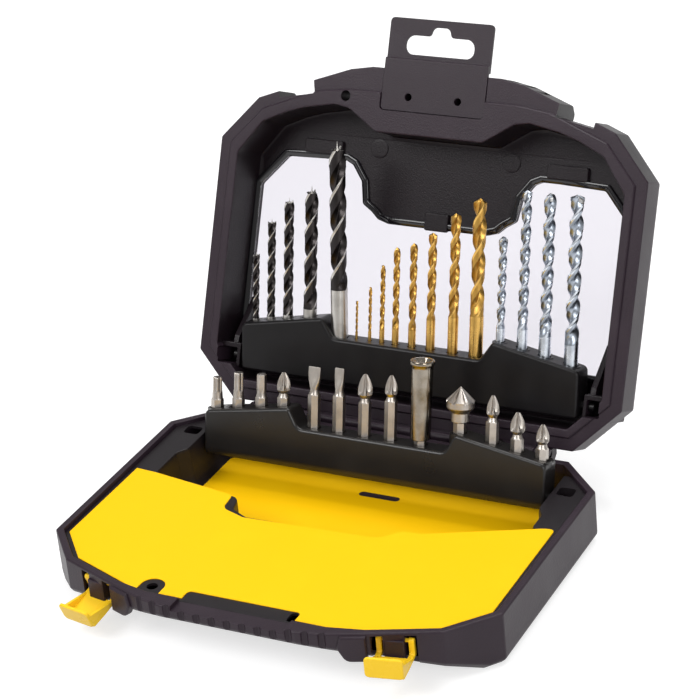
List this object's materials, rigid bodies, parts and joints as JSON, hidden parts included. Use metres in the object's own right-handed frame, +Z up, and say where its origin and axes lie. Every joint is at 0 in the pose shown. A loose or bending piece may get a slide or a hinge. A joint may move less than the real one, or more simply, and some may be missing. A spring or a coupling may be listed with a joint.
{
  "type": "drill bit case",
  "caption": "Hinged black case, standing open, with two folding racks of drills and driver bits, yellow latches, a clear lid window and a hanging tab.",
  "frame": {"origin": "centre of the base's flat underside", "axes": "+X to the right along the hinge, +Y to the back towards the hinge, +Z up"},
  "size_m": [0.268, 0.3232, 0.2428],
  "materials": {
    "case_black": "fine grained black polypropylene",
    "insert_black": "smooth matt black plastic",
    "tab_black": "satin black plastic",
    "card_yellow": "smooth printed yellow card",
    "latch_yellow": "satin yellow plastic",
    "clear_window": "clear moulded plastic",
    "pin_steel": "drawn steel pin",
    "wood_drill_black": "black oxide flutes with ground lands",
    "gold_coating": "gold nitride coating",
    "zinc_drill": "bright zinc",
    "carbide": "ground carbide",
    "bit_steel": "satin nickel steel",
    "holder_chrome": "bright nickel",
    "magnet_grey": "plated magnet"
  },
  "bodies": {
    "base": {"base_shell": "case_black", "tray_insert": "insert_black", "tray_card": "card_yellow", "floor_card": "card_yellow", "hinge_pins": "pin_steel"},
    "lid": {"lid_shell": "case_black", "lid_window": "clear_window", "hanger_tab": "tab_black"},
    "drill_rack": {"drill_rack": "insert_black"},
    "bit_rack": {"bit_rack": "insert_black"},
    "latch_left": {"latch_left": "latch_yellow"},
    "latch_right": {"latch_right": "latch_yellow"},
    "wood_drill_4": {"wood_drill_4": "wood_drill_black"},
    "wood_drill_5": {"wood_drill_5": "wood_drill_black"},
    "wood_drill_6": {"wood_drill_6": "wood_drill_black"},
    "wood_drill_8": {"wood_drill_8": "wood_drill_black"},
    "wood_drill_10": {"wood_drill_10": "wood_drill_black"},
    "metal_drill_1_5": {"metal_drill_1_5": "gold_coating"},
    "metal_drill_2": {"metal_drill_2": "gold_coating"},
    "metal_drill_3": {"metal_drill_3": "gold_coating"},
    "metal_drill_4": {"metal_drill_4": "gold_coating"},
    "metal_drill_4_5": {"metal_drill_4_5": "gold_coating"},
    "metal_drill_5": {"metal_drill_5": "gold_coating"},
    "metal_drill_6": {"metal_drill_6": "gold_coating"},
    "metal_drill_8": {"metal_drill_8": "gold_coating"},
    "masonry_drill_5": {"masonry_drill_5": "zinc_drill", "carbide_tip_5": "carbide"},
    "masonry_drill_6": {"masonry_drill_6": "zinc_drill", "carbide_tip_6": "carbide"},
    "masonry_drill_7": {"masonry_drill_7": "zinc_drill", "carbide_tip_7": "carbide"},
    "masonry_drill_8": {"masonry_drill_8": "zinc_drill", "carbide_tip_8": "carbide"},
    "star_bit_1": {"star_bit_1": "bit_steel"},
    "star_bit_2": {"star_bit_2": "bit_steel"},
    "hex_bit": {"hex_bit": "bit_steel"},
    "cross_bit_short_1": {"cross_bit_short_1": "bit_steel"},
    "cross_bit_short_2": {"cross_bit_short_2": "bit_steel"},
    "cross_bit_short_3": {"cross_bit_short_3": "bit_steel"},
    "cross_bit_short_4": {"cross_bit_short_4": "bit_steel"},
    "slot_bit_wide": {"slot_bit_wide": "bit_steel"},
    "slot_bit_narrow": {"slot_bit_narrow": "bit_steel"},
    "cross_bit_long_1": {"cross_bit_long_1": "bit_steel"},
    "cross_bit_long_2": {"cross_bit_long_2": "bit_steel"},
    "bit_holder": {"holder_sleeve": "holder_chrome", "holder_shank": "bit_steel", "holder_magnet": "magnet_grey"},
    "countersink": {"countersink": "bit_steel"}
  },
  "joints": [
    {"name": "lid_hinge", "type": "hinge", "parent": "base", "child": "lid", "pos_m": [0, 0.08525, 0.031], "axis": [-1, 0, 0], "range_deg": [-115.3, 0]},
    {"name": "drill_rack_hinge", "type": "hinge", "parent": "lid", "child": "drill_rack", "pos_m": [0, 0.10669, 0.05283], "axis": [1, 0, 0], "range_deg": [-11.3, 0]},
    {"name": "bit_rack_hinge", "type": "hinge", "parent": "base", "child": "bit_rack", "pos_m": [0, 0.0545, 0.02198], "axis": [-1, 0, 0], "range_deg": [-104, 0]},
    {"name": "latch_left_hinge", "type": "hinge", "parent": "base", "child": "latch_left", "pos_m": [-0.0875, -0.10175, 0.0252], "axis": [0.9833, -0.1822, 0], "range_deg": [-110, 0]},
    {"name": "latch_right_hinge", "type": "hinge", "parent": "base", "child": "latch_right", "pos_m": [0.0875, -0.10175, 0.0252], "axis": [0.9833, 0.1822, 0], "range_deg": [-90, 0]},
    {"name": "wood_drill_4_pull", "type": "slide", "parent": "drill_rack", "child": "wood_drill_4", "axis": [0, 0.2419, 0.9703], "range_m": [0, 0.022]},
    {"name": "wood_drill_5_pull", "type": "slide", "parent": "drill_rack", "child": "wood_drill_5", "axis": [0, 0.2419, 0.9703], "range_m": [0, 0.022]},
    {"name": "wood_drill_6_pull", "type": "slide", "parent": "drill_rack", "child": "wood_drill_6", "axis": [0, 0.2419, 0.9703], "range_m": [0, 0.022]},
    {"name": "wood_drill_8_pull", "type": "slide", "parent": "drill_rack", "child": "wood_drill_8", "axis": [0, 0.2419, 0.9703], "range_m": [0, 0.022]},
    {"name": "wood_drill_10_pull", "type": "slide", "parent": "drill_rack", "child": "wood_drill_10", "axis": [0, 0.2419, 0.9703], "range_m": [0, 0.022]},
    {"name": "metal_drill_1_5_pull", "type": "slide", "parent": "drill_rack", "child": "metal_drill_1_5", "axis": [0, 0.2419, 0.9703], "range_m": [0, 0.022]},
    {"name": "metal_drill_2_pull", "type": "slide", "parent": "drill_rack", "child": "metal_drill_2", "axis": [0, 0.2419, 0.9703], "range_m": [0, 0.022]},
    {"name": "metal_drill_3_pull", "type": "slide", "parent": "drill_rack", "child": "metal_drill_3", "axis": [0, 0.2419, 0.9703], "range_m": [0, 0.022]},
    {"name": "metal_drill_4_pull", "type": "slide", "parent": "drill_rack", "child": "metal_drill_4", "axis": [0, 0.2419, 0.9703], "range_m": [0, 0.022]},
    {"name": "metal_drill_4_5_pull", "type": "slide", "parent": "drill_rack", "child": "metal_drill_4_5", "axis": [0, 0.2419, 0.9703], "range_m": [0, 0.022]},
    {"name": "metal_drill_5_pull", "type": "slide", "parent": "drill_rack", "child": "metal_drill_5", "axis": [0, 0.2419, 0.9703], "range_m": [0, 0.022]},
    {"name": "metal_drill_6_pull", "type": "slide", "parent": "drill_rack", "child": "metal_drill_6", "axis": [0, 0.2419, 0.9703], "range_m": [0, 0.022]},
    {"name": "metal_drill_8_pull", "type": "slide", "parent": "drill_rack", "child": "metal_drill_8", "axis": [0, 0.2419, 0.9703], "range_m": [0, 0.022]},
    {"name": "masonry_drill_5_pull", "type": "slide", "parent": "drill_rack", "child": "masonry_drill_5", "axis": [0, 0.2419, 0.9703], "range_m": [0, 0.022]},
    {"name": "masonry_drill_6_pull", "type": "slide", "parent": "drill_rack", "child": "masonry_drill_6", "axis": [0, 0.2419, 0.9703], "range_m": [0, 0.022]},
    {"name": "masonry_drill_7_pull", "type": "slide", "parent": "drill_rack", "child": "masonry_drill_7", "axis": [0, 0.2419, 0.9703], "range_m": [0, 0.022]},
    {"name": "masonry_drill_8_pull", "type": "slide", "parent": "drill_rack", "child": "masonry_drill_8", "axis": [0, 0.2419, 0.9703], "range_m": [0, 0.022]},
    {"name": "star_bit_1_pull", "type": "slide", "parent": "bit_rack", "child": "star_bit_1", "axis": [0, 0.2419, 0.9703], "range_m": [0, 0.01]},
    {"name": "star_bit_2_pull", "type": "slide", "parent": "bit_rack", "child": "star_bit_2", "axis": [0, 0.2419, 0.9703], "range_m": [0, 0.01]},
    {"name": "hex_bit_pull", "type": "slide", "parent": "bit_rack", "child": "hex_bit", "axis": [0, 0.2419, 0.9703], "range_m": [0, 0.01]},
    {"name": "cross_bit_short_1_pull", "type": "slide", "parent": "bit_rack", "child": "cross_bit_short_1", "axis": [0, 0.2419, 0.9703], "range_m": [0, 0.01]},
    {"name": "cross_bit_short_2_pull", "type": "slide", "parent": "bit_rack", "child": "cross_bit_short_2", "axis": [0, 0.2419, 0.9703], "range_m": [0, 0.01]},
    {"name": "cross_bit_short_3_pull", "type": "slide", "parent": "bit_rack", "child": "cross_bit_short_3", "axis": [0, 0.2419, 0.9703], "range_m": [0, 0.01]},
    {"name": "cross_bit_short_4_pull", "type": "slide", "parent": "bit_rack", "child": "cross_bit_short_4", "axis": [0, 0.2419, 0.9703], "range_m": [0, 0.01]},
    {"name": "slot_bit_wide_pull", "type": "slide", "parent": "bit_rack", "child": "slot_bit_wide", "axis": [0, 0.2419, 0.9703], "range_m": [0, 0.018]},
    {"name": "slot_bit_narrow_pull", "type": "slide", "parent": "bit_rack", "child": "slot_bit_narrow", "axis": [0, 0.2419, 0.9703], "range_m": [0, 0.018]},
    {"name": "cross_bit_long_1_pull", "type": "slide", "parent": "bit_rack", "child": "cross_bit_long_1", "axis": [0, 0.2419, 0.9703], "range_m": [0, 0.018]},
    {"name": "cross_bit_long_2_pull", "type": "slide", "parent": "bit_rack", "child": "cross_bit_long_2", "axis": [0, 0.2419, 0.9703], "range_m": [0, 0.018]},
    {"name": "bit_holder_pull", "type": "slide", "parent": "bit_rack", "child": "bit_holder", "axis": [0, 0.2419, 0.9703], "range_m": [0, 0.018]},
    {"name": "countersink_pull", "type": "slide", "parent": "bit_rack", "child": "countersink", "axis": [0, 0.2419, 0.9703], "range_m": [0, 0.01]}
  ],
  "couplings": [
    {"joint": "drill_rack_hinge", "follows": "lid_hinge", "ratio": 0.098},
    {"joint": "bit_rack_hinge", "follows": "lid_hinge", "ratio": 0.9019}
  ]
}
